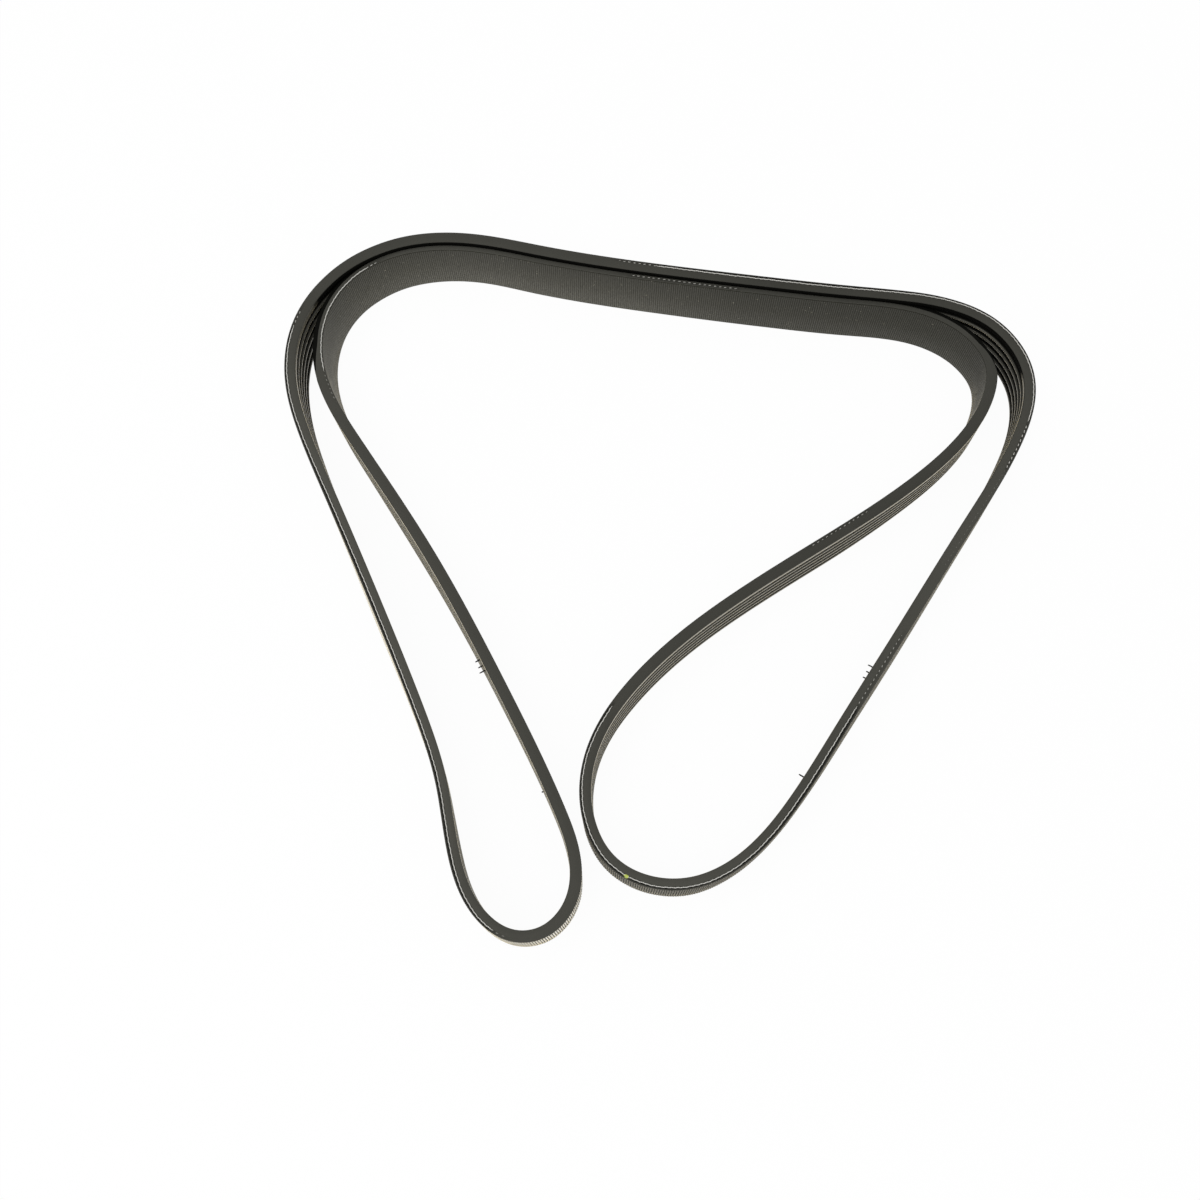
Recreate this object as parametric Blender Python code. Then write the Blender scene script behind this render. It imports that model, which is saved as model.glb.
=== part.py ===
"""Ribbed accessory-drive belt (alternator belt), endless and moulded in one piece.

The belt stands on its cut edge, folded over into an arch with a loop at each foot. Along the
arch its two strands face each other and their ribs lie in each other's grooves. Metres, +Z up,
with the origin on the table under the middle of the belt.
"""

import math

import bmesh
import bpy
import numpy as np

MM = 0.001

# Ribbed section, across the belt
RIB_COUNT = 6
RIB_PITCH = 3.56 * MM
RIB_HEIGHT = 2.4 * MM
RIB_TIP_WIDTH = 0.8 * MM
RIB_FLANK_ANGLE = math.radians(20)
BACKING = 1.9 * MM

# How the two strands of the arch lie in each other
NEST_CLEARANCE = 0.4 * MM

# How finely the bends are cut into straight facets
FACET_LENGTH = 13 * MM
FACET_TURN = math.radians(12)
STEPS_PER_SPAN = 40

SHARP_EDGE = math.radians(25)

BELT_WIDTH = RIB_COUNT * RIB_PITCH
THICKNESS = BACKING + RIB_HEIGHT

# The route is the middle of the upper cut edge, laid out by hand as the belt came to lie. Each
# point is x and y in millimetres, the lean of the strand in degrees (positive where its foot is
# towards the ribs), and how much of half a rib pitch the strand is lifted to fit the other one.
LEFT_LOOP = [
    (-117, 122, -5.0, 0),
    (-129, 105, -5.0, 0),
    (-130, 81, -3.5, 0),
    (-114, 49, 0.0, 0),
    (-86, 6, 3.0, 0),
    (-56, -49, 1.5, 0),
    (-36, -91, 1.0, 0),
    (-31, -106, 1.5, 0),
    (-31, -119, 0.0, 0),
    (-34, -126, -0.5, 0),
    (-42, -133, -1.2, 0),
    (-52, -134, -1.8, 0),
    (-64, -126, -2.0, 0),
    (-73, -106, -2.5, 0),
    (-78, -81, -4.5, 0),
    (-88, -52, -4.5, 0),
    (-102, -19, -5.0, 0),
    (-123, 28, -3.0, 0),
    (-134, 53, -0.5, 0),
    (-141, 79, 2.0, 0),
    (-138, 101, 2.0, 0.3),
    (-131, 113, 1.5, 0.6),
    (-116, 126, 0.5, 1),
]
RIGHT_LOOP = [
    (99, 108, -1.5, 1),
    (117, 104, -1.0, 0.5),
    (127, 99, -1.0, 0.2),
    (137, 88, -1.0, 0),
    (141, 76, -1.0, 0),
    (134, 48, -2.0, 0),
    (115, 17, -4.0, 0),
    (83, -32, -5.5, 0),
    (64, -61, -5.0, 0),
    (46, -88, -3.0, 0),
    (31, -105, -1.5, 0),
    (21, -112, -1.2, 0),
    (10, -116, -1.5, 0),
    (-3, -116, -0.8, 0),
    (-15, -111, 0.0, 0),
    (-21, -105, 0.0, 0),
    (-25, -97, 0.0, 0),
    (-27, -88, 1.0, 0),
    (-25, -70, 2.0, 0),
    (-10, -45, 3.0, 0),
    (23, -16, 2.5, 0),
    (61, 9, 2.5, 0),
    (96, 33, 1.0, 0),
    (116, 52, 1.0, 0),
    (125, 67, 0.5, 0),
    (127, 80, 0.5, 0),
    (121, 92, -0.5, 0),
    (107, 102, -2.0, 0),
]

# Outer strand of the arch: x, y and lean as above, then the lean of the strand nested under it
ARCH = [
    (-99, 133, -1.0, -3.0),
    (-71, 134, -1.5, -1.5),
    (-46, 129, -1.5, -3.0),
    (-2, 121, -1.5, -3.5),
    (41, 115, -1.5, -4.5),
    (73, 111, -1.5, -4.5),
]


def belt_profile():
    """Closed outline of the section: distance towards the ribs, and height under the upper edge."""
    back = -THICKNESS / 2
    groove = back + BACKING
    tip = THICKNESS / 2
    rise = RIB_HEIGHT * math.tan(RIB_FLANK_ANGLE)
    outline = [(back, 0.0), (groove, 0.0)]
    for rib in range(RIB_COUNT):
        middle = -(rib + 0.5) * RIB_PITCH
        outline += [
            (groove, middle + RIB_TIP_WIDTH / 2 + rise),
            (tip, middle + RIB_TIP_WIDTH / 2),
            (tip, middle - RIB_TIP_WIDTH / 2),
            (groove, middle - RIB_TIP_WIDTH / 2 - rise),
        ]
    outline += [(groove, -BELT_WIDTH), (back, -BELT_WIDTH)]
    return np.array(outline)


def nested_strand(arch):
    """Points of the strand whose ribs lie in the grooves of the arch's outer strand."""
    along = np.gradient(arch, axis=0)
    along /= np.linalg.norm(along, axis=1, keepdims=True)
    towards_ribs = np.stack([along[:, 1], -along[:, 0]], axis=1)
    return arch + towards_ribs * (THICKNESS - RIB_HEIGHT + NEST_CLEARANCE)


def route_points():
    """All points of the loop in order: place in metres, lean in radians and lift in metres."""
    left = np.array(LEFT_LOOP)
    right = np.array(RIGHT_LOOP)
    arch = np.array(ARCH)
    nested = nested_strand(arch[:, :2] * MM)[::-1]
    place = np.vstack([left[:, :2] * MM, arch[:, :2] * MM, right[:, :2] * MM, nested])
    lean = np.concatenate([left[:, 2], arch[:, 2], right[:, 2], arch[::-1, 3]])
    raised = np.concatenate([left[:, 3], np.ones(len(arch)), right[:, 3], np.zeros(len(arch))])
    return place, np.radians(lean), raised * RIB_PITCH / 2


def closed_spline(points, shares):
    """Smooth closed line through the points, bent as a thin strip bends: a periodic cubic spline."""
    following = np.roll(points, -1, axis=0)
    spans = np.linalg.norm(following - points, axis=1)
    slopes = (following - points) / spans[:, None]
    count = len(points)
    system = np.zeros((count, count))
    for here in range(count):
        before = here - 1
        after = (here + 1) % count
        system[here, before] = spans[before] / 6
        system[here, here] = (spans[before] + spans[here]) / 3
        system[here, after] = spans[here] / 6
    bend = np.linalg.solve(system, slopes - np.roll(slopes, 1, axis=0))
    next_bend = np.roll(bend, -1, axis=0)
    rows = []
    for share in shares:
        rest = 1 - share
        curved = (rest**3 - rest) * bend + (share**3 - share) * next_bend
        rows.append(rest * points + share * following + curved * spans[:, None] ** 2 / 6)
    return np.stack(rows, axis=1).reshape(-1, 2)


def closed_blend(values, spans, shares):
    """Values between the points of the loop, which never pass beyond the two that they lie between."""
    following = np.roll(values, -1)
    slope = (following - values) / spans
    before = np.roll(slope, 1)
    same_way = slope * before > 0
    total = np.where(same_way, slope + before, 1.0)
    tangent = np.where(same_way, 2 * slope * before / total, 0.0)
    next_tangent = np.roll(tangent, -1)
    rows = []
    for share in shares:
        rest = 1 - share
        ends = values * rest**2 * (1 + 2 * share) + following * share**2 * (1 + 2 * rest)
        swing = tangent * share * rest**2 - next_tangent * share**2 * rest
        rows.append(ends + swing * spans)
    return np.stack(rows, axis=1).ravel()


def stations():
    """Place, lean and lift at each facet of the loop, with shorter facets where it bends."""
    place, lean, lift = route_points()
    shares = np.arange(STEPS_PER_SPAN) / STEPS_PER_SPAN
    spans = np.linalg.norm(np.roll(place, -1, axis=0) - place, axis=1)
    line = closed_spline(place, shares)
    leans = closed_blend(lean, spans, shares)
    lifts = closed_blend(lift, spans, shares)
    step = np.roll(line, -1, axis=0) - line
    heading = np.arctan2(step[:, 1], step[:, 0])
    turn = np.angle(np.exp(1j * (np.roll(heading, -1) - heading)))
    need = np.linalg.norm(step, axis=1) / FACET_LENGTH + np.abs(turn) / FACET_TURN
    reached = np.concatenate([[0.0], np.cumsum(need)])
    count = math.ceil(reached[-1])
    wanted = np.arange(count) * reached[-1] / count
    columns = [line[:, 0], line[:, 1], leans, lifts]
    picked = [np.interp(wanted, reached, np.append(column, column[0])) for column in columns]
    return np.stack(picked[:2], axis=1), picked[2], picked[3]


def belt_rings():
    """The section's corners at every station, standing on the lowest corner or lifted off it."""
    line, lean, lift = stations()
    along = np.roll(line, -1, axis=0) - np.roll(line, 1, axis=0)
    along /= np.linalg.norm(along, axis=1, keepdims=True)
    towards_ribs = np.stack([along[:, 1], -along[:, 0]], axis=1)
    outline = belt_profile()
    across = outline[:, 0]
    up = outline[:, 1]
    cosine = np.cos(lean)[:, None]
    sine = np.sin(lean)[:, None]
    sideways = across * cosine - up * sine
    height = across * sine + up * cosine
    height += lift[:, None] - height.min(axis=1, keepdims=True)
    plan = line[:, None, :] + towards_ribs[:, None, :] * sideways[:, :, None]
    rings = np.concatenate([plan, height[:, :, None]], axis=2)
    low = rings.min(axis=(0, 1))
    high = rings.max(axis=(0, 1))
    return rings - [(low[0] + high[0]) / 2, (low[1] + high[1]) / 2, low[2]]


def rubber():
    """Black rubber of the belt, greyed by handling."""
    material = bpy.data.materials.new("black_rubber")
    material.use_nodes = True
    shader = material.node_tree.nodes["Principled BSDF"]
    shader.inputs["Base Color"].default_value = (0.045, 0.047, 0.042, 1.0)
    shader.inputs["Roughness"].default_value = 0.6
    shader.inputs["Metallic"].default_value = 0.0
    material.diffuse_color = (0.045, 0.047, 0.042, 1.0)
    return material


def ribbed_belt():
    """The belt as one closed ring of quads between neighbouring sections."""
    rings = belt_rings()
    solid = bmesh.new()
    corners = [[solid.verts.new(corner) for corner in ring] for ring in rings]
    for here, ring in enumerate(corners):
        following = corners[(here + 1) % len(corners)]
        for side in range(len(ring)):
            other = (side + 1) % len(ring)
            solid.faces.new((ring[side], ring[other], following[other], following[side]))
    bmesh.ops.recalc_face_normals(solid, faces=solid.faces)
    mesh = bpy.data.meshes.new("ribbed_belt")
    solid.to_mesh(mesh)
    solid.free()
    mesh.shade_smooth()
    mesh.set_sharp_from_angle(angle=SHARP_EDGE)
    mesh.materials.append(rubber())
    belt = bpy.data.objects.new("ribbed_belt", mesh)
    bpy.context.scene.collection.objects.link(belt)
    return belt


def clear_scene():
    """Start from an empty scene."""
    for item in list(bpy.data.objects):
        bpy.data.objects.remove(item)


clear_scene()
ribbed_belt()
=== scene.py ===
import math

import bmesh
import bpy
import numpy as np
from mathutils import Matrix, Vector


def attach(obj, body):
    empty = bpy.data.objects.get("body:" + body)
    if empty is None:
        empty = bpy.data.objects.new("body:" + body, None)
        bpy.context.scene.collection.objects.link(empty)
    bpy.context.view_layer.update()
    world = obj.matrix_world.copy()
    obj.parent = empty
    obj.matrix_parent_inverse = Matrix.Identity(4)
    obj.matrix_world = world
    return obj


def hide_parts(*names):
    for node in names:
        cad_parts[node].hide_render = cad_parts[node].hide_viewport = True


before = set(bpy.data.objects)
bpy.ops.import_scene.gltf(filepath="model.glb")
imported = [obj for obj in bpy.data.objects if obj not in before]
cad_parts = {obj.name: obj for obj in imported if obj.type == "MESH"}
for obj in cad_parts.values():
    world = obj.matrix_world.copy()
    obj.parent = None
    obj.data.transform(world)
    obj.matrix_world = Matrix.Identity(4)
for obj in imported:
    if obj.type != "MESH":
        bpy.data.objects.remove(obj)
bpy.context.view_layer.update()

mm = 0.001  # routes and sections are worked out in millimetres, meshes are in metres

# Section of the belt, the same sizes as the CAD part, in millimetres
section = {
    "ribCount": 6,
    "ribPitch": 3.56,
    "ribHeight": 2.4,
    "ribTipWidth": 0.8,
    "flankDegrees": 20.0,
    "backing": 1.9,
    "nestClearance": 0.4,
}
beltWidth = section["ribCount"] * section["ribPitch"]
thickness = section["backing"] + section["ribHeight"]
backPlane = -thickness / 2
groovePlane = backPlane + section["backing"]
flankRise = section["ribHeight"] * math.tan(math.radians(section["flankDegrees"]))

# Route of the middle of the upper cut edge, as in the CAD part: x, y in millimetres, the lean in
# degrees (positive where the foot is towards the ribs), and the lift as a share of half a pitch
leftLoop = [
    (-117, 122, -5.0, 0), (-129, 105, -5.0, 0), (-130, 81, -3.5, 0), (-114, 49, 0.0, 0),
    (-86, 6, 3.0, 0), (-56, -49, 1.5, 0), (-36, -91, 1.0, 0), (-31, -106, 1.5, 0),
    (-31, -119, 0.0, 0), (-34, -126, -0.5, 0), (-42, -133, -1.2, 0), (-52, -134, -1.8, 0),
    (-64, -126, -2.0, 0), (-73, -106, -2.5, 0), (-78, -81, -4.5, 0), (-88, -52, -4.5, 0),
    (-102, -19, -5.0, 0), (-123, 28, -3.0, 0), (-134, 53, -0.5, 0), (-141, 79, 2.0, 0),
    (-138, 101, 2.0, 0.3), (-131, 113, 1.5, 0.6), (-116, 126, 0.5, 1),
]
rightLoop = [
    (99, 108, -1.5, 1), (117, 104, -1.0, 0.5), (127, 99, -1.0, 0.2), (137, 88, -1.0, 0),
    (141, 76, -1.0, 0), (134, 48, -2.0, 0), (115, 17, -4.0, 0), (83, -32, -5.5, 0),
    (64, -61, -5.0, 0), (46, -88, -3.0, 0), (31, -105, -1.5, 0), (21, -112, -1.2, 0),
    (10, -116, -1.5, 0), (-3, -116, -0.8, 0), (-15, -111, 0.0, 0), (-21, -105, 0.0, 0),
    (-25, -97, 0.0, 0), (-27, -88, 1.0, 0), (-25, -70, 2.0, 0), (-10, -45, 3.0, 0),
    (23, -16, 2.5, 0), (61, 9, 2.5, 0), (96, 33, 1.0, 0), (116, 52, 1.0, 0),
    (125, 67, 0.5, 0), (127, 80, 0.5, 0), (121, 92, -0.5, 0), (107, 102, -2.0, 0),
]
# Outer strand of the arch, with the lean of the strand nested under it as the last value
arch = [
    (-99, 133, -1.0, -3.0), (-71, 134, -1.5, -1.5), (-46, 129, -1.5, -3.0),
    (-2, 121, -1.5, -3.5), (41, 115, -1.5, -4.5), (73, 111, -1.5, -4.5),
]
stepsPerSpan = 200  # of the curve between two points of the route
roughSpacing = 2.0  # of the stations that find the middle of the belt
fineSpacing = 0.5   # of the stations that whiskers and paint are set on


def routePoints():
    # All points of the loop: left loop, arch, right loop, then the arch again, set inwards and
    # reversed. Inwards is square to the run of the arch, by the nest's own distance.
    left, right, outer = np.array(leftLoop), np.array(rightLoop), np.array(arch)
    run = np.gradient(outer[:, :2], axis=0)
    run /= np.linalg.norm(run, axis=1, keepdims=True)
    inwards = np.stack([run[:, 1], -run[:, 0]], axis=1)
    nestStep = thickness - section["ribHeight"] + section["nestClearance"]
    nested = (outer[:, :2] + inwards * nestStep)[::-1]
    place = np.vstack([left[:, :2], outer[:, :2], right[:, :2], nested])
    lean = np.concatenate([left[:, 2], outer[:, 2], right[:, 2], outer[::-1, 3]])
    raised = np.concatenate([left[:, 3], np.ones(len(outer)), right[:, 3], np.zeros(len(outer))])
    return place, np.radians(lean), raised * section["ribPitch"] / 2


def closedSpline(points, shares):
    # Periodic cubic spline: the second derivative at each point makes the slope run on across it,
    # and between two points it runs straight from one to the other.
    following = np.roll(points, -1, axis=0)
    spans = np.linalg.norm(following - points, axis=1)
    slopes = (following - points) / spans[:, None]
    before = np.roll(spans, 1)
    eye = np.eye(len(points))
    system = eye * (before + spans)[:, None] / 3
    system += np.roll(eye, -1, axis=1) * before[:, None] / 6
    system += np.roll(eye, 1, axis=1) * spans[:, None] / 6
    bend = np.linalg.solve(system, slopes - np.roll(slopes, 1, axis=0))[:, None, :]
    nextBend = np.roll(bend, -1, axis=0)
    share = shares[None, :, None]
    rest = 1 - share
    straight = rest * points[:, None, :] + share * following[:, None, :]
    curved = (rest**3 - rest) * bend + (share**3 - share) * nextBend
    line = straight + curved * spans[:, None, None] ** 2 / 6
    return line.reshape(-1, 2), spans


def closedBlend(values, spans, shares):
    # Cubic between neighbouring values whose end slopes are the harmonic mean of the slopes either
    # side, or level where these turn, so it never passes beyond the values it joins.
    following = np.roll(values, -1)
    slope = (following - values) / spans
    before = np.roll(slope, 1)
    sameWay = slope * before > 0
    tangent = np.where(sameWay, 2 * slope * before / np.where(sameWay, slope + before, 1.0), 0.0)
    nextTangent = np.roll(tangent, -1)[:, None]
    first, second = values[:, None], following[:, None]
    share = shares[None, :]
    rest = 1 - share
    ends = first * rest**2 * (1 + 2 * share) + second * share**2 * (1 + 2 * rest)
    swing = tangent[:, None] * share * rest**2 - nextTangent * share**2 * rest
    return (ends + swing * spans[:, None]).ravel()


def cadOutline():
    # Corners of the CAD section: distance towards the ribs, and height under the upper cut edge.
    middles = -(np.arange(section["ribCount"]) + 0.5) * section["ribPitch"]
    half = section["ribTipWidth"] / 2
    ups = middles[:, None] + np.array([half + flankRise, half, -half, -half - flankRise])
    acrosses = np.tile([groovePlane, thickness / 2, thickness / 2, groovePlane], (len(middles), 1))
    ends = [[backPlane, 0], [groovePlane, 0]], [[groovePlane, -beltWidth], [backPlane, -beltWidth]]
    return np.vstack([ends[0], np.stack([acrosses.ravel(), ups.ravel()], axis=1), ends[1]])


def evenRoute(spacing):
    # Stations at one spacing along the loop. Each has its place, its direction towards the ribs,
    # its lean, and the height of its upper edge when it stands on its lowest corner, plus its lift.
    place, lean, lift = routePoints()
    shares = np.arange(stepsPerSpan) / stepsPerSpan
    line, spans = closedSpline(place, shares)
    steps = np.linalg.norm(np.roll(line, -1, axis=0) - line, axis=1)
    reached = np.concatenate([[0.0], np.cumsum(steps)])
    length = reached[-1]
    count = round(length / spacing)
    along = np.arange(count) * length / count
    blended = [closedBlend(values, spans, shares) for values in (lean, lift)]
    columns = [line[:, 0], line[:, 1], *blended]
    x, y, leans, lifts = [np.interp(along, reached, np.append(c, c[0])) for c in columns]
    centre = np.stack([x, y], axis=1)
    run = np.roll(centre, -1, axis=0) - np.roll(centre, 1, axis=0)
    run /= np.linalg.norm(run, axis=1, keepdims=True)
    outline = cadOutline()
    heights = outline[:, 0] * np.sin(leans)[:, None] + outline[:, 1] * np.cos(leans)[:, None]
    return {
        "along": along, "length": length, "centre": centre, "run": run,
        "ribward": np.stack([run[:, 1], -run[:, 0]], axis=1),
        "lean": leans, "edge": lifts - heights.min(axis=1),
    }


def stationsAt(route, picked):
    # Some stations of the route, as a short route of their own.
    return {key: route[key][picked] for key in ("centre", "run", "ribward", "lean", "edge")}


def carried(route, across, up):
    # Section points carried along the route: turned by the lean about the middle of the upper edge,
    # then set at its place and height. across and up have one row for all stations or one for each.
    cosine, sine = np.cos(route["lean"])[:, None], np.sin(route["lean"])[:, None]
    sideways = across * cosine - up * sine
    height = across * sine + up * cosine + route["edge"][:, None]
    plan = route["centre"][:, None, :] + route["ribward"][:, None, :] * sideways[..., None]
    return np.concatenate([plan, height[..., None]], axis=2)


def boxMiddle():
    # Middle of the box round the whole belt in plan, which the CAD part sets at the origin.
    corners = cadOutline()
    grid = carried(evenRoute(roughSpacing), corners[:, 0], corners[:, 1]).reshape(-1, 3)
    return np.array([*(grid.min(axis=0) + grid.max(axis=0))[:2] / 2, 0.0])


beltMiddle = boxMiddle()


def asIfRound(route, across, up):
    # Where each point would lie if the belt were laid out as one true circle. Patterns read this,
    # so they follow the rubber round every bend and meet themselves where the loop closes.
    turn = turnOf(route)
    radius = route["length"] / (2 * math.pi) + across
    flat = [radius * np.cos(turn)[:, None], radius * np.sin(turn)[:, None], up]
    return np.stack(np.broadcast_arrays(*flat), axis=2)


def turnOf(route):
    # How far round the loop each station is, as an angle.
    return 2 * math.pi * route["along"] / route["length"]


def alongRoute(route, pairs):
    # Straight lines between (millimetres along the loop, value) pairs, which meet where it closes.
    along, value = np.array(pairs).T
    return np.interp(route["along"], along, value, period=route["length"])[:, None]


def insideRuns(route, runs, fade):
    # 1 inside any of the runs and 0 outside, with soft ends of the given length.
    along, length = route["along"], route["length"]
    inside = np.zeros_like(along)
    for start, end in runs:
        place = start + (along - start) % length
        opening = np.clip((place - start) / fade, 0, 1)
        closing = np.clip((end - place) / fade, 0, 1)
        inside = np.maximum(inside, opening * closing)
    return inside[:, None]


def waves(angle, parts):
    # Sum of sines of the angle, each part given as (height, count round the circle, start).
    return sum(height * np.sin(count * angle + start) for height, count, start in parts)


def placed(name, mesh):
    piece = bpy.data.objects.new(name, mesh)
    bpy.context.scene.collection.objects.link(piece)
    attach(piece, "root")
    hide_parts("ribbed_belt")


def gridPiece(name, route, across, up, looks, columnLooks, fields, sharpDegrees=50):
    # A closed surface over a grid that wraps round both ways: row i is the section at station i.
    grid = carried(route, across, up)
    rows, columns, _ = grid.shape
    index = np.arange(rows * columns).reshape(rows, columns)
    below = np.roll(index, -1, axis=0)
    corners = [index, np.roll(index, -1, axis=1), np.roll(below, -1, axis=1), below]
    quads = np.stack(corners, axis=-1).reshape(-1, 4)
    points = (grid.reshape(-1, 3) - beltMiddle) * mm
    a, b, c, d = (points[quads[:, k]] for k in range(4))
    volume = (np.cross(b, c) * a).sum() + (np.cross(c, d) * a).sum()
    if volume < 0:
        quads = quads[:, ::-1]
    mesh = bpy.data.meshes.new(name)
    mesh.vertices.add(len(points))
    mesh.vertices.foreach_set("co", points.ravel())
    mesh.loops.add(quads.size)
    mesh.loops.foreach_set("vertex_index", quads.ravel().astype(np.int32))
    mesh.polygons.add(len(quads))
    mesh.polygons.foreach_set("loop_start", np.arange(0, quads.size, 4, dtype=np.int32))
    for look in looks:
        mesh.materials.append(look)
    mesh.polygons.foreach_set("material_index", np.tile(columnLooks, rows).astype(np.int32))
    mesh.update(calc_edges=True)
    for key, field in fields.items():
        layer = mesh.attributes.new(key, "FLOAT", "POINT")
        spread = np.broadcast_to(field, (rows, columns)).ravel()
        layer.data.foreach_set("value", spread.astype(np.float32))
    layer = mesh.attributes.new("asIfRound", "FLOAT_VECTOR", "POINT")
    laidOut = asIfRound(route, across, up).reshape(-1, 3) * mm
    layer.data.foreach_set("vector", laidOut.ravel().astype(np.float32))
    mesh.shade_smooth()
    mesh.set_sharp_from_angle(angle=math.radians(sharpDegrees))
    mesh.validate()
    placed(name, mesh)


def smallPiece(name, points, faces, look):
    # A small closed surface from its points in millimetres, with its faces turned outwards.
    mesh = bpy.data.meshes.new(name)
    mesh.from_pydata(((points - beltMiddle) * mm).tolist(), [], faces)
    solid = bmesh.new()
    solid.from_mesh(mesh)
    bmesh.ops.recalc_face_normals(solid, faces=solid.faces)
    solid.to_mesh(mesh)
    solid.free()
    mesh.materials.append(look)
    mesh.shade_smooth()
    placed(name, mesh)


# Shader helpers

def newLook(name):
    look = bpy.data.materials.new(name)
    look.use_nodes = True
    return look, look.node_tree.nodes["Principled BSDF"]


def link(look, value, socket):
    look.node_tree.links.new(value, socket)


def addNode(look, kind, inputs=None, **settings):
    made = look.node_tree.nodes.new(kind)
    for key, value in settings.items():
        setattr(made, key, value)
    for key, value in (inputs or {}).items():
        if isinstance(value, bpy.types.NodeSocket):
            link(look, value, made.inputs[key])
        else:
            made.inputs[key].default_value = value
    return made


def readValue(look, key):
    return addNode(look, "ShaderNodeAttribute", attribute_name=key).outputs["Fac"]


def readPlace(look):
    return addNode(look, "ShaderNodeAttribute", attribute_name="asIfRound").outputs["Vector"]


def pattern(look, scale, stretch=(1, 1, 1), detail=3.0, roughness=0.55):
    # Noise laid out on the unrolled belt: stretch below 1 draws it out that way.
    moved = addNode(look, "ShaderNodeMapping", {"Vector": readPlace(look), "Scale": stretch})
    inputs = {"Vector": moved.outputs["Vector"], "Scale": scale, "Detail": detail}
    return addNode(look, "ShaderNodeTexNoise", {**inputs, "Roughness": roughness}).outputs["Fac"]


def remap(look, value, low, high, toLow=0.0, toHigh=1.0):
    inputs = {"Value": value, 1: low, 2: high, 3: toLow, 4: toHigh}
    return addNode(look, "ShaderNodeMapRange", inputs).outputs["Result"]


def mathOf(look, operation, first, second):
    made = addNode(look, "ShaderNodeMath", {0: first, 1: second}, operation=operation)
    return made.outputs["Value"]


def blendColour(look, share, first, second):
    made = addNode(look, "ShaderNodeMix", data_type="RGBA")
    for index, value in ((0, share), (6, first), (7, second)):
        socket = made.inputs[index]
        if isinstance(value, bpy.types.NodeSocket):
            link(look, value, socket)
        else:
            socket.default_value = value if isinstance(value, float) else (*value, 1.0)
    return made.outputs[2]


def bumped(look, shader, height, depth, strength=1.0):
    inputs = {"Height": height, "Distance": depth * mm, "Strength": strength}
    made = addNode(look, "ShaderNodeBump", inputs)
    link(look, made.outputs["Normal"], shader.inputs["Normal"])


# The ribbed layer, from the edge of the back ply to the rib tips. Each run is (start, end) in
# millimetres along the loop, and may pass over its seam.
ribLayer = {
    "stationSpacing": 1.7,
    # Columns down each rib, as shares of the pitch from its middle
    "columnPhases": [
        -0.42, -0.34, -0.25, -0.18, -0.14, -0.1, -0.05,
        0.05, 0.1, 0.14, 0.18, 0.25, 0.34, 0.42, 0.5,
    ],
    "columnGap": 0.1,           # least room between them and the cut edge's own columns
    "edgeColumns": [0.0, 0.26, 0.42],  # from the cord's middle, across the cut edge
    "freeTipWidth": 1.15,       # of the ribs that aren't pressed into the other strand
    "nestRuns": [(562, 868), (1388, 1706)],
    "openRuns": [(1392, 1706)],  # where the half groove under the upper cut edge is still there
    "nestFade": 14,
    # Across and up from the groove's own edge: run out over the first rib, or left open
    "cutSlope": [(-0.05, 0.0), (2.05, -0.05), (2.3, -0.22), (2.38, -0.6)],
    "openSlope": [(-0.05, 0.0), (0.08, -0.05), (0.12, -0.4), (0.6, -0.6)],
    "softness": 0.1,            # rounding of tips and grooves, as a share of the flank's rise
    "nestShade": 0.7,           # how far past the first rib's middle the nest's shade reaches
    "crestShadeRuns": [(840, 990)],    # painted shade: where the crests are drawn darker, beside the nest
    "dimFade": 40,
    "dimEdge": 0.26,            # share that the first rib's upper side loses there
    "dimCrest": 0.11,           # share that the other crests lose there
    # Painted shade and highlight: the grooves are drawn near black for the shade in them, the
    # crests paler as a painted highlight, and the worn tips paler still, partly real wear and
    # partly painted highlight
    "grooveShadeColour": (0.004, 0.004, 0.0035),
    "crestHighlightColour": (0.05, 0.048, 0.04),
    "wornAndHighlightColour": (0.13, 0.126, 0.108),
    "mottleScale": 420,
    "bloomColour": (1.0, 0.86, 0.54),
    "shineColour": (1.0, 0.98, 0.84),
}

# The cut edges, which the ribbed layer and the back ply share
cutEdge = {
    "faceColour": (0.034, 0.0334, 0.0285),  # at a tone of 2
    "paleColour": (0.088, 0.087, 0.076),
    # Painted shadow: the first columns go near black beside the bare cord, for the shade in the gap
    # round it
    "cordShadowColour": (0.004, 0.004, 0.0035),   # at a tone of 0, beside the cord where that lies bare
    "cordShadowShares": [1.0, 0.8],   # how much of its tone each of the first columns loses there
    "speckleScale": 3200,
    "driftScale": 90,
    # How grey they are drawn along the loop, a painted light and shade for how they are lit there:
    # (millimetres along the loop, tone)
    "paintedLightTones": [
        (0, 1.0), (240, 0.9), (310, 1.1), (380, 1.4), (490, 1.4), (560, 0.9), (700, 0.9),
        (760, 0.7), (860, 0.9), (930, 1.2), (1060, 1.0), (1110, 1.2), (1190, 0.9), (1300, 0.8),
        (1500, 1.0), (1640, 1.2),
    ],
}


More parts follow.
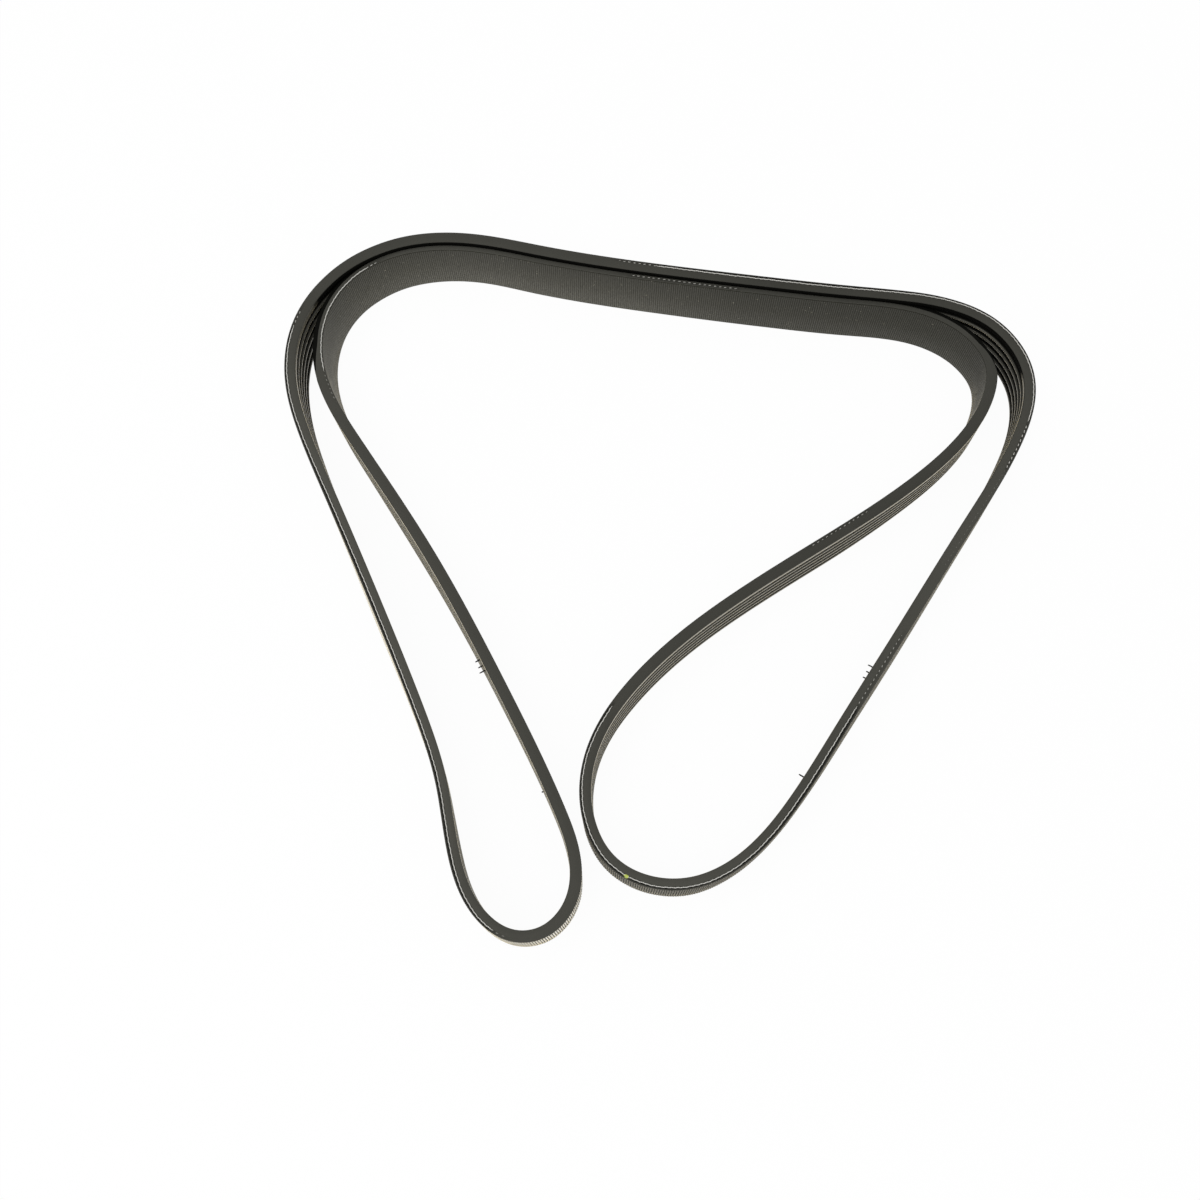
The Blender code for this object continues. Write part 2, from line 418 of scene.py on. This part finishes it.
def ribSection(route):
    # Down the rib side each rib is one minus a soft ramp of the distance from its middle, counted
    # in flank rises from the edge of its tip. With t that distance and s the softness, the soft
    # ramp is (1 + hypot(t, s) - hypot(t - 1, s)) / 2.
    pitch = section["ribPitch"]
    middles = -(np.arange(section["ribCount"]) + 0.5) * pitch
    ups = (middles[:, None] - np.array(ribLayer["columnPhases"])[None, :] * pitch).ravel()[:-1]
    openSlope, cutSlope = np.array(ribLayer["openSlope"]), np.array(ribLayer["cutSlope"])
    room = ribLayer["columnGap"] - cutSlope[-1, 1]
    ups = ups[(ups < -room) & (ups > room - beltWidth)]
    offset = np.abs((ups / pitch) % 1.0 - 0.5) * pitch
    nested = insideRuns(route, ribLayer["nestRuns"], ribLayer["nestFade"])
    tipWidth = nested * section["ribTipWidth"] + (1 - nested) * ribLayer["freeTipWidth"]
    t = (offset - tipWidth / 2) / flankRise
    s = ribLayer["softness"]
    height = 1 - (1 + np.hypot(t, s) - np.hypot(t - 1, s)) / 2
    # The upper cut edge runs out over the first rib, or keeps its half groove in the nest.
    isOpen = insideRuns(route, ribLayer["openRuns"], ribLayer["nestFade"])
    slope = isOpen[..., None] * openSlope + (1 - isOpen[..., None]) * cutSlope
    height = height + (1 - height) * (1 - isOpen) * (ups > -pitch / 2)
    ply = backPlane + cordInset(route)
    level = 0 * ply
    edge = np.array([ribLayer["edgeColumns"]])
    across = np.concatenate([
        ply + edge, groovePlane + slope[..., 0],
        groovePlane + section["ribHeight"] * height,
        groovePlane + openSlope[::-1, 0] + level, ply + edge[:, ::-1],
    ], axis=1)
    up = np.concatenate([
        level + 0 * edge, slope[..., 1],
        ups + level,
        -beltWidth - openSlope[::-1, 1] + level, level - beltWidth + 0 * edge,
    ], axis=1)
    # Pale crests, a painted highlight: the upper side of the first rib is one too, apart from the
    # nest's painted shade.
    onEdge = edge.size + len(cutSlope) - 1
    # Painted shade: the crests and the first rib's upper side go darker in these runs beside the
    # nest
    dim = insideRuns(route, ribLayer["crestShadeRuns"], ribLayer["dimFade"])
    edgeCrest = (1 - nested) * (1 - ribLayer["dimEdge"] * dim) * ([0] * (onEdge - 1) + [1, 1])
    isShaded = ups > -pitch / 2 - ribLayer["nestShade"]
    ribCrest = height * np.where(isShaded, 1 - nested, 1) * (1 - ribLayer["dimCrest"] * dim)
    footCrest = level + np.zeros(edge.size + len(openSlope))
    crest = np.concatenate([edgeCrest, ribCrest, footCrest], axis=1)
    isCut = np.zeros(across.shape[1], int)
    isCut[:onEdge] = isCut[-onEdge:] = 1
    tone = toneOfCut(route, len(isCut))
    # Painted shade: in the open half groove the cut edge's last column goes dark
    tone[:, onEdge - 1] *= 1 - isOpen[:, 0]
    return across, up, crest, tone, np.minimum(isCut, np.roll(isCut, -1))


def toneOfCut(route, columns):
    # Tone of each column at each station, painted light and shade along the loop. The first ones go
    # dark beside the bare cord, as painted shadow.
    loss = np.zeros(columns)
    loss[:len(cutEdge["cordShadowShares"])] = cutEdge["cordShadowShares"]
    return alongRoute(route, cutEdge["paintedLightTones"]) * (1 - cordBare(route) * loss)


def ribLook():
    look, shader = newLook("ribRubber")
    crest = readValue(look, "crest")
    mottle = pattern(look, ribLayer["mottleScale"], (1, 1, 0.6), 4.0)
    mottle = remap(look, mottle, 0.35, 0.7, 0.85, 1.0)
    tip = remap(look, crest, 0.68, 0.97)
    # Painted shade in the grooves, painted highlight on the crests, and worn tips that are partly
    # real wear and partly painted highlight
    base = blendColour(look, tip, ribLayer["grooveShadeColour"], ribLayer["crestHighlightColour"])
    wearAndHighlight = mathOf(look, "MULTIPLY", remap(look, crest, 0.86, 0.99), mottle)
    base = blendColour(look, wearAndHighlight, base, ribLayer["wornAndHighlightColour"])
    link(look, base, shader.inputs["Base Color"])
    link(look, remap(look, tip, 0.0, 1.0, 0.8, 0.22), shader.inputs["Roughness"])
    link(look, remap(look, tip, 0.0, 1.0, 0.03, 0.4), shader.inputs["Specular IOR Level"])
    link(look, tip, shader.inputs["Sheen Weight"])
    dusted(shader, 0.3)
    return look


def dusted(shader, roughness):
    # The pale bloom that rubber shows where it is seen almost edge on.
    shader.inputs["Sheen Roughness"].default_value = roughness
    shader.inputs["Sheen Tint"].default_value = (*ribLayer["bloomColour"], 1.0)
    shader.inputs["Specular Tint"].default_value = (*ribLayer["shineColour"], 1.0)


def cutLook():
    look, shader = newLook("cutRubber")
    speckle = pattern(look, cutEdge["speckleScale"], (1, 1, 1), 4.0, 0.7)
    drift = remap(look, pattern(look, cutEdge["driftScale"]), 0.3, 0.7, 0.4, 1.0)
    pale = mathOf(look, "MULTIPLY", remap(look, speckle, 0.45, 0.75), drift)
    face = blendColour(look, pale, cutEdge["faceColour"], cutEdge["paleColour"])
    # The tone paints light and shade into the cut edges: lighter or darker along the loop as they
    # are lit, and dark as painted shade beside the bare cord and in the open half groove
    tone = remap(look, readValue(look, "tone"), 0.0, 2.0)
    link(look, blendColour(look, tone, cutEdge["cordShadowColour"], face), shader.inputs["Base Color"])
    link(look, remap(look, tone, 0.0, 1.0, 0.03, 1.0), shader.inputs["Specular IOR Level"])
    shader.inputs["Specular Tint"].default_value = (*ribLayer["shineColour"], 1.0)
    shader.inputs["Roughness"].default_value = 0.7
    bumped(look, shader, speckle, 0.06, 0.7)
    return look


def makeRibLayer(cutRubber):
    route = evenRoute(ribLayer["stationSpacing"])
    across, up, crest, tone, columnLooks = ribSection(route)
    fields = {"crest": crest, "tone": tone}
    gridPiece("ribLayer", route, across, up, [ribLook(), cutRubber], columnLooks, fields)


# The back ply, ridged across the belt on its outer side
backPly = {
    "stationSpacing": 0.17,
    "ridgePitch": 0.82,
    "ridgeDepth": 0.2,
    "ridgeMiddle": 0.55,        # share of the depth at mid height between valley and crest
    "ridgeSwing": 0.45,         # share above and below it, where the ridges are fully open
    "ridgeWander": 0.35,        # how far each wave moves a ridge, where 2 pi is a whole pitch
    "wanderWaves": [(1, 37, 1.0), (1, 91, 2.6), (1, 211, 0.0)],
    "slackContrast": 0.6,       # of the ridges where the back isn't stretched round a bend
    "bendReach": 6,             # either side of a station, over which its bend is measured
    "fullBend": 0.028,          # bend of the loop, as one over millimetres, that opens them fully
    "cornerRadius": 0.18,
    "valleyColour": (0.017, 0.0165, 0.012),
    "ridgeColour": (0.15, 0.143, 0.116),
    # Paler where rubbed: partly real wear, partly a painted sheen
    "rubbedAndSheenColour": (0.20, 0.185, 0.14),
    "dustColour": (0.30, 0.28, 0.22),
    "grainScale": 1900,
    "mottleScale": 160,
    "speckScale": 1100,
    # How strongly the ridges bloom: (millimetres along the loop, share)
    "blooms": [
        (0, 0.5), (180, 0.6), (235, 1.7), (420, 1.7), (560, 0.5), (930, 0.33), (1130, 0.33),
        (1400, 0.4),
    ],
    # How grey the back is drawn along the loop, a painted light and shade for how it is lit there:
    # (millimetres along the loop, share)
    "paintedLightGreys": [
        (0, 1.1), (60, 0.9), (180, 0.4), (1400, 0.3), (1500, 0.5), (1545, 0.95), (1640, 1.1),
    ],
}


def ridgeHeight(route):
    # A cosine wave counted along the loop, from 0.1 in a valley to 1 on a ridge. It wanders slowly,
    # and it is shallower away from the bends towards the ribs, which stretch the back.
    turn = turnOf(route)
    ridges = round(route["length"] / backPly["ridgePitch"])
    wander = backPly["ridgeWander"] * waves(turn, backPly["wanderWaves"])
    gap = round(backPly["bendReach"] / backPly["stationSpacing"])
    ahead, behind = np.roll(route["run"], -gap, axis=0), np.roll(route["run"], gap, axis=0)
    turned = ahead[:, 0] * behind[:, 1] - ahead[:, 1] * behind[:, 0]
    stretch = np.clip(turned / (2 * gap * backPly["stationSpacing"]) / backPly["fullBend"], 0, 1)
    contrast = backPly["slackContrast"] + (1 - backPly["slackContrast"]) * stretch
    swing = contrast * backPly["ridgeSwing"] * np.cos(ridges * turn + wander)
    return (backPly["ridgeMiddle"] + swing)[:, None]


def makeBackPly(cutRubber):
    # Ten columns: four over the upper cut edge and its corner, four down the back, and two over the
    # lower cut edge. The ridges stand on the back alone.
    route = evenRoute(backPly["stationSpacing"])
    ridge = ridgeHeight(route)
    inset = cordInset(route)
    r = backPly["cornerRadius"]
    # Depths from the back plane and heights from the upper edge, from the corner onwards
    fixed = np.array([
        (r, 0.0), (0.3 * r, -0.3 * r), (0.0, -r), (0.0, -r - 0.5), (0.0, -beltWidth / 2),
        (0.0, -beltWidth + r), (r, -beltWidth),
    ])
    besideSeam = 0.35 * inset + 0.65 * r  # between the cord and the corner
    depth = np.concatenate([inset, besideSeam, fixed[:, 0] + 0 * inset, inset], axis=1)
    up = np.array([0.0, 0.0, *fixed[:, 1], -beltWidth]) + 0 * inset
    ridged = np.array([0, 0, 0, 0, 0.6, 1, 1, 1, 0, 0])  # share of the ridges at each column
    across = backPlane + depth + ridged * (1 - ridge) * backPly["ridgeDepth"]
    onEdge = np.array([1, 1, 1, 1, 0, 0, 0, 1, 1, 1])
    fields = {
        "ridge": ridge * (ridged == 1), "bloom": alongRoute(route, backPly["blooms"]),
        "grey": alongRoute(route, backPly["paintedLightGreys"]), "tone": toneOfCut(route, len(ridged)),
    }
    columnLooks = np.minimum(onEdge, np.roll(onEdge, -1))
    gridPiece("backPly", route, across, up, [backLook(), cutRubber], columnLooks, fields, 60)


def backLook():
    look, shader = newLook("backRubber")
    ridge = readValue(look, "ridge")
    grain = pattern(look, backPly["grainScale"], (1, 1, 0.35), 4.0, 0.65)
    mottle = pattern(look, backPly["mottleScale"], (1, 1, 1), 4.0)
    specks = pattern(look, backPly["speckScale"], (1, 1, 1), 1.0)
    # Greyer on the ridges, in the grain and towards the foot, and lighter or darker along the loop
    # as painted light and shade
    height = addNode(look, "ShaderNodeSeparateXYZ", {"Vector": readPlace(look)}).outputs["Z"]
    share = remap(look, ridge, 0.0, 1.0, 0.6, 1.0)
    share = mathOf(look, "MULTIPLY", share, remap(look, grain, 0.3, 0.7, 0.35, 1.0))
    share = mathOf(look, "MULTIPLY", share, remap(look, height, -beltWidth * mm, 0.0, 1.0, 0.2))
    # Painted light and shade: lighter or darker along the loop
    share = mathOf(look, "MULTIPLY", share, readValue(look, "grey"))
    base = blendColour(look, share, backPly["valleyColour"], backPly["ridgeColour"])
    bloom = mathOf(look, "MULTIPLY", remap(look, ridge, 0.2, 0.75), readValue(look, "bloom"))
    # Where the ridges bloom they are drawn paler: partly rubbed wear, partly a painted sheen
    polishAndSheen = remap(look, bloom, 0.5, 1.3)
    base = blendColour(look, polishAndSheen, base, backPly["rubbedAndSheenColour"])
    dust = mathOf(look, "MULTIPLY", remap(look, specks, 0.70, 0.78), remap(look, mottle, 0.4, 0.65))
    base = blendColour(look, dust, base, backPly["dustColour"])
    link(look, base, shader.inputs["Base Color"])
    link(look, remap(look, bloom, 0.0, 1.3, 0.65, 0.14), shader.inputs["Roughness"])
    link(look, remap(look, bloom, 0.0, 1.3, 0.03, 1.0), shader.inputs["Specular IOR Level"])
    link(look, remap(look, bloom, 0.0, 1.0), shader.inputs["Sheen Weight"])
    link(look, polishAndSheen, shader.inputs["Coat Weight"])
    shader.inputs["Coat Roughness"].default_value = 0.1
    dusted(shader, 0.22)
    bumped(look, shader, grain, 0.02, 0.2)
    return look


# The pale cord that shows in the upper cut edge. It runs all the way round, between the back ply
# and the ribbed layer, and sinks into the rubber where it isn't seen. Each run is (start, end,
# bareness) in millimetres along the loop: how bare it lies, where less than 1 leaves dashes.
cord = {
    "radius": 0.19,
    "plyBulge": 0.16,           # how far the two twisted plies stand out, as a share of the radius
    "lay": 1.3,
    "waver": 0.035,
    "waverWaves": [(1, 173, 0.0), (0.7, 421, 1.3)],
    "stand": 0.06,              # of the cord's middle over the cut edge, where it shows
    "sink": 0.45,
    "dashPitch": 2.0,
    "dashSwing": 0.6,           # how much more and less bare a dash and its gap are
    "dashLead": 0.12,           # most that a dash may be barer than its run
    "dashSlant": 0.06,
    "runFade": 4,
    "stationSpacing": 0.35,
    "around": 8,
    "runs": [
        (-11, 0, 0.6), (-6, 50, 1.7), (44, 66, 0.4), (298, 312, 0.4), (304, 554, 1.7),
        (548, 563, 0.5), (691, 715, 0.5), (707, 888, 1.7), (884, 910, 0.6), (903, 957, 0.35),
        (981, 1024, 0.45), (1014, 1196, 1.3), (1285, 1318, 0.45), (1500, 1548, 0.5),
    ],
    # How far in from the back its middle lies: (millimetres along the loop, inset)
    "path": [
        (0, 0.42), (22, 0.42), (50, 0.65), (150, 0.9), (310, 1.0), (335, 1.35), (400, 1.2),
        (440, 1.35), (480, 1.4), (520, 1.1), (560, 1.0), (700, 1.0), (740, 1.25), (780, 1.25),
        (820, 1.0), (880, 0.85), (930, 1.35), (1010, 1.4), (1060, 1.3), (1100, 0.95),
        (1145, 1.2), (1170, 1.0), (1190, 1.2), (1300, 1.0), (1510, 1.0), (1530, 1.3),
        (1560, 1.1), (1645, 0.5),
    ],
    "colour": (0.78, 0.77, 0.72),
    "shadowColour": (0.17, 0.165, 0.145),
    "fibreScale": 5000,
}


def cordInset(route):
    return alongRoute(route, cord["path"])


def cordBare(route):
    # How plainly the cord can be seen at each station, with its dashes evened out: not at all up
    # to a bareness of 0.35, and fully from 0.85.
    shares = [min(max(2 * bareness - 0.7, 0), 1) for _, _, bareness in cord["runs"]]
    windows = [insideRuns(route, [run[:2]], cord["runFade"]) for run in cord["runs"]]
    return np.max([window * share for window, share in zip(windows, shares)], axis=0)


def makeCord():
    # A ring with two bulges that turn about its middle once in each lay. In the wave of the dashes
    # its middle sways across the edge and, where it lies lower, goes under for part of each wave.
    route = evenRoute(cord["stationSpacing"])
    turn = turnOf(route)
    wave = round(route["length"] / cord["dashPitch"]) * turn
    show = np.zeros_like(turn)
    for start, end, bareness in cord["runs"]:
        bare = bareness + cord["dashSwing"] * np.sin(wave)
        bare = np.clip(bare, 0, min(bareness + cord["dashLead"], 1))
        show = np.maximum(show, insideRuns(route, [(start, end)], cord["runFade"])[:, 0] * bare)
    around = 2 * math.pi * np.arange(cord["around"]) / cord["around"]
    twist = (round(route["length"] / cord["lay"]) * turn)[:, None]
    radius = cord["radius"] * (1 + cord["plyBulge"] * np.cos(2 * (around - twist)))
    waver = cord["waver"] * waves(turn, cord["waverWaves"])
    sway = cord["dashSlant"] * np.cos(wave)
    middle = backPlane + cordInset(route)[:, 0] + waver + sway
    level = cord["stand"] - (1 - show) * cord["sink"]
    across = middle[:, None] + radius * np.cos(around)
    up = level[:, None] + radius * np.sin(around)
    valley = np.abs(np.sin(around - twist)) * np.clip(2 * show - 0.6, 0.1, 1)[:, None]
    looks, fields = np.zeros(cord["around"], int), {"valley": valley}
    gridPiece("cordInEdge", route, across, up, [cordLook()], looks, fields, 180)


def cordLook():
    look, shader = newLook("cordYarn")
    fibres = pattern(look, cord["fibreScale"], (1, 1, 1), 2.0)
    share = remap(look, readValue(look, "valley"), 0.1, 0.8)
    share = mathOf(look, "MULTIPLY", share, remap(look, fibres, 0.35, 0.65, 0.5, 1.0))
    base = blendColour(look, share, cord["shadowColour"], cord["colour"])
    link(look, base, shader.inputs["Base Color"])
    shader.inputs["Roughness"].default_value = 0.8
    bumped(look, shader, fibres, 0.03)
    return look


# Rubber whiskers that the mould left on the rib crests: (along, rib, length) in millimetres
whiskers = {
    "places": [
        (177.8, 1, 1.9), (180.5, 1, 1.9), (182.5, 1, 2.4), (230.7, 4, 0.7),
        (998.7, 1, 2.1), (1001.1, 1, 1.4), (1003.3, 1, 1.3), (1047.0, 1, 2.1),
    ],
    "radius": 0.3,
    "tipShare": 0.8,            # of the radius that is left at the tip
    "lastRing": 0.97,           # where the last ring lies, as a share of the length
    "lastShare": 0.7,           # of its own radius that the last ring keeps
    "root": 0.5,
    "droop": 0.12,
    "rings": 7,
    "around": 10,
    "colour": (0.006, 0.006, 0.005),
}


def makeWhiskers():
    # Round bars square to the crest that taper and droop by the square of their length. At the
    # share t the radius is r (1 - (1 - tipShare) t). Each is closed by a point at either end.
    route = evenRoute(fineSpacing)
    places = np.array(whiskers["places"])
    here = stationsAt(route, np.abs(route["along"][None, :] - places[:, :1]).argmin(axis=1))
    t = np.array([0.0, *np.linspace(0, whiskers["lastRing"], whiskers["rings"]), 1.0])
    radius = whiskers["radius"] * (1 - (1 - whiskers["tipShare"]) * t)
    radius[[0, -1]] = 0
    radius[-2] *= whiskers["lastShare"]
    angle = 2 * math.pi * np.arange(whiskers["around"]) / whiskers["around"]
    reach = places[:, 2:] + whiskers["root"]
    across = thickness / 2 - whiskers["root"] + reach * t
    up = -(places[:, 1:2] + 0.5) * section["ribPitch"] - whiskers["droop"] * reach * t**2
    bars, rows, columns = len(places), len(t), len(angle)
    up = up[:, :, None] + (radius[:, None] * np.sin(angle))[None]
    across = np.broadcast_to(across[:, :, None], up.shape)
    grid = carried(here, across.reshape(bars, -1), up.reshape(bars, -1))
    grid = grid.reshape(bars, rows, columns, 3)
    sideways = (radius[:, None] * np.cos(angle))[None, :, :, None]
    grid[..., :2] += here["run"][:, None, None, :] * sideways
    ends = grid[:, [0, -1], 0, :].reshape(-1, 3)
    index = np.arange(bars * (rows - 2) * columns).reshape(bars, rows - 2, columns)
    following = np.roll(index, -1, axis=2)
    corners = [index[:, :-1], following[:, :-1], following[:, 1:], index[:, 1:]]
    faces = np.stack(corners, axis=-1).reshape(-1, 4).tolist()
    poles = index.size + np.arange(2 * bars).reshape(bars, 2)
    for end, row in ((0, 0), (1, -1)):
        fan = np.broadcast_arrays(poles[:, end, None], index[:, row], following[:, row])
        faces += np.stack(fan, axis=-1).reshape(-1, 3).tolist()
    points = np.vstack([grid[:, 1:-1].reshape(-1, 3), ends])
    smallPiece("rubberWhiskers", points, faces, whiskerLook())


def whiskerLook():
    look, shader = newLook("whiskerRubber")
    shader.inputs["Base Color"].default_value = (*whiskers["colour"], 1.0)
    shader.inputs["Roughness"].default_value = 0.8
    shader.inputs["Specular IOR Level"].default_value = 0.2
    return look


# The inspector's dot of paint on the cut edge, over the cord
paint = {
    "along": 1127.6,
    "across": -1.25,
    "halfLength": 0.95,
    "halfWidth": 0.64,
    "height": 0.32,
    "rimWaves": [(0.13, 3, 1), (0.09, 5, 2), (0.05, 9, 0)],
    "rimShare": 1.08,           # how far out the tucked-in rim reaches
    "underside": -0.15,
    "rings": 9,
    "around": 36,
    "colour": (0.60, 0.70, 0.10),
    "thinColour": (0.30, 0.35, 0.08),
    "coverScale": 1600,
}


def makePaint():
    # A low dome on an oval with a wavy rim: at the share r of the way out it stands
    # height (1 - r^4), and its rim is tucked into the rubber.
    route = evenRoute(fineSpacing)
    here = stationsAt(route, [np.abs(route["along"] - paint["along"]).argmin()])
    share = np.linspace(0, paint["rimShare"], paint["rings"])[1:, None]
    angle = 2 * math.pi * np.arange(paint["around"]) / paint["around"]
    rim = 1 + waves(angle, paint["rimWaves"])
    across = paint["across"] + paint["halfWidth"] * share * rim * np.sin(angle)
    up = paint["height"] * (1 - share**4) + 0 * across
    grid = carried(here, across.reshape(1, -1), up.reshape(1, -1))[0]
    grid[:, :2] += here["run"] * (paint["halfLength"] * share * rim * np.cos(angle)).reshape(-1, 1)
    middle = np.array([[paint["across"]]])
    poles = [carried(here, middle, np.array([[paint[key]]]))[0] for key in ("height", "underside")]
    rows, columns = len(share), len(angle)
    index = np.arange(rows * columns).reshape(rows, columns)
    following = np.roll(index, -1, axis=1)
    corners = [index[:-1], following[:-1], following[1:], index[1:]]
    faces = np.stack(corners, axis=-1).reshape(-1, 4).tolist()
    for pole, row in ((index.size, 0), (index.size + 1, -1)):
        faces += [(pole, a, b) for a, b in zip(index[row].tolist(), following[row].tolist())]
    smallPiece("paintDot", np.vstack([grid, *poles]), faces, paintLook())


def paintLook():
    look, shader = newLook("inspectionPaint")
    place = addNode(look, "ShaderNodeTexCoord").outputs["Object"]
    inputs = {"Vector": place, "Scale": paint["coverScale"], "Detail": 3.0}
    cover = addNode(look, "ShaderNodeTexNoise", inputs).outputs["Fac"]
    share = remap(look, cover, 0.38, 0.6)
    base = blendColour(look, share, paint["thinColour"], paint["colour"])
    link(look, base, shader.inputs["Base Color"])
    shader.inputs["Roughness"].default_value = 0.5
    bumped(look, shader, cover, 0.08)
    return look


# Floor, world and lamp, in metres
studio = {
    "floorColour": (0.9, 0.9, 0.9),
    "floorHalf": 6.0,
    "whiteShare": 0.96,
    "worldLevel": 0.65,
    "lampPlace": (-0.5, -0.3, 1.2),
    "lampSize": 1.2,
    "lampLevel": 9.0,
}


def makeFloor():
    mesh = bpy.data.meshes.new("floor")
    half = studio["floorHalf"]
    corners = [(-half, -half, 0), (half, -half, 0), (half, half, 0), (-half, half, 0)]
    mesh.from_pydata(corners, [], [(0, 1, 2, 3)])
    floor = bpy.data.objects.new("floor", mesh)
    bpy.context.scene.collection.objects.link(floor)
    look = bpy.data.materials.new("whiteTable")
    look.use_nodes = True
    tree = look.node_tree
    tree.nodes.remove(tree.nodes["Principled BSDF"])
    plain = addNode(look, "ShaderNodeBsdfDiffuse", {"Color": (*studio["floorColour"], 1.0)})
    white = addNode(look, "ShaderNodeEmission", {"Color": (1, 1, 1, 1), "Strength": 1.0})
    share = mathOf(look, "MULTIPLY", seenAsWhite(look), studio["whiteShare"])
    mix = addNode(look, "ShaderNodeMixShader", {0: share, 1: plain.outputs[0], 2: white.outputs[0]})
    link(look, mix.outputs[0], tree.nodes["Material Output"].inputs["Surface"])
    mesh.materials.append(look)


def seenAsWhite(look):
    rays = addNode(look, "ShaderNodeLightPath").outputs
    seen = mathOf(look, "MAXIMUM", rays["Is Camera Ray"], rays["Is Glossy Ray"])
    return mathOf(look, "MAXIMUM", seen, rays["Is Transmission Ray"])


def makeWorld():
    world = bpy.data.worlds.new("softRoom")
    bpy.context.scene.world = world
    world.use_nodes = True
    back = world.node_tree.nodes["Background"]
    back.inputs["Color"].default_value = (1, 1, 1, 1)
    level = mathOf(world, "MAXIMUM", seenAsWhite(world), studio["worldLevel"])
    link(world, level, back.inputs["Strength"])


def makeLamp():
    # One large square lamp overhead, aimed at the origin.
    light = bpy.data.lights.new("overhead", "AREA")
    light.size = studio["lampSize"]
    light.energy = studio["lampLevel"]
    lamp = bpy.data.objects.new("overhead", light)
    lamp.location = studio["lampPlace"]
    lamp.rotation_euler = (-Vector(studio["lampPlace"])).to_track_quat("-Z", "Y").to_euler()
    bpy.context.scene.collection.objects.link(lamp)


camera = {
    "place": (-18.13, -154.47, 456.8),  # in millimetres
    "tiltDegrees": 13.35,       # from straight down
    "headingDegrees": 2.263,
    "lens": 37.49,
    "sensor": 36.0,
    "shift": 1 / 12,
    "clipStart": 0.01,
}


def makeCamera():
    data = bpy.data.cameras.new("camera")
    data.lens = camera["lens"]
    data.sensor_width = camera["sensor"]
    data.sensor_fit = "HORIZONTAL"
    data.shift_y = camera["shift"]
    data.clip_start = camera["clipStart"]
    seer = bpy.data.objects.new("camera", data)
    bpy.context.scene.collection.objects.link(seer)
    heading, tilt = (math.radians(camera[key]) for key in ("headingDegrees", "tiltDegrees"))
    turned = Matrix.Rotation(heading, 4, "Z") @ Matrix.Rotation(tilt, 4, "X")
    turned = turned @ Matrix.Rotation(-heading, 4, "Z")
    seer.matrix_world = Matrix.Translation([value * mm for value in camera["place"]]) @ turned
    bpy.context.scene.camera = seer


cutRubber = cutLook()
makeRibLayer(cutRubber)
print("rib layer made")
makeBackPly(cutRubber)
print("back ply made")
makeCord()
print("cord made")
makeWhiskers()
makePaint()
print("whiskers and paint made")
makeFloor()
makeWorld()
makeLamp()
makeCamera()
bpy.context.scene.view_settings.view_transform = "Standard"
print("studio made")
